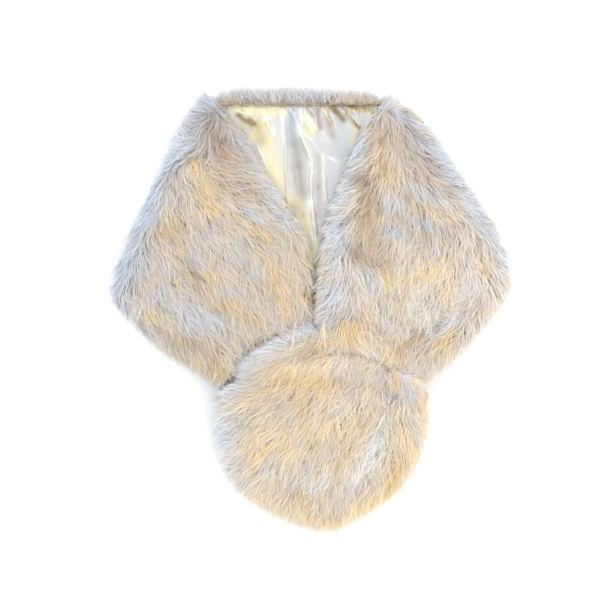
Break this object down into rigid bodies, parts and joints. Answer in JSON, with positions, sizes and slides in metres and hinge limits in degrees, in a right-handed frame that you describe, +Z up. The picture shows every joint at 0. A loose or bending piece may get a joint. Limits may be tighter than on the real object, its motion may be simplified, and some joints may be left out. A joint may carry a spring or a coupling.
{
  "type": "faux fur collar wrap",
  "caption": "Satin-lined faux fur collar wrap laid flat, folded at both shoulders, its round left end drawn up through a slit across the right front.",
  "frame": {"origin": "middle of the wrap's footprint, on the surface that it lies on", "axes": "+X to the right as seen from above with the neck at the top, +Y towards the neck edge, +Z up"},
  "size_m": [0.425, 0.4662, 0.0439],
  "materials": {
    "fur": "long cream faux fur pile with golden and cool grey patches",
    "satin": "champagne satin"
  },
  "bodies": {
    "root": {"back_fur": "fur", "back_lining": "satin", "front_lining": "satin", "end_fur": "fur", "end_lining": "satin", "left_front_fur": "fur", "right_front_fur": "fur", "slit_band_fur": "fur", "tail_fur": "fur"}
  },
  "joints": []
}
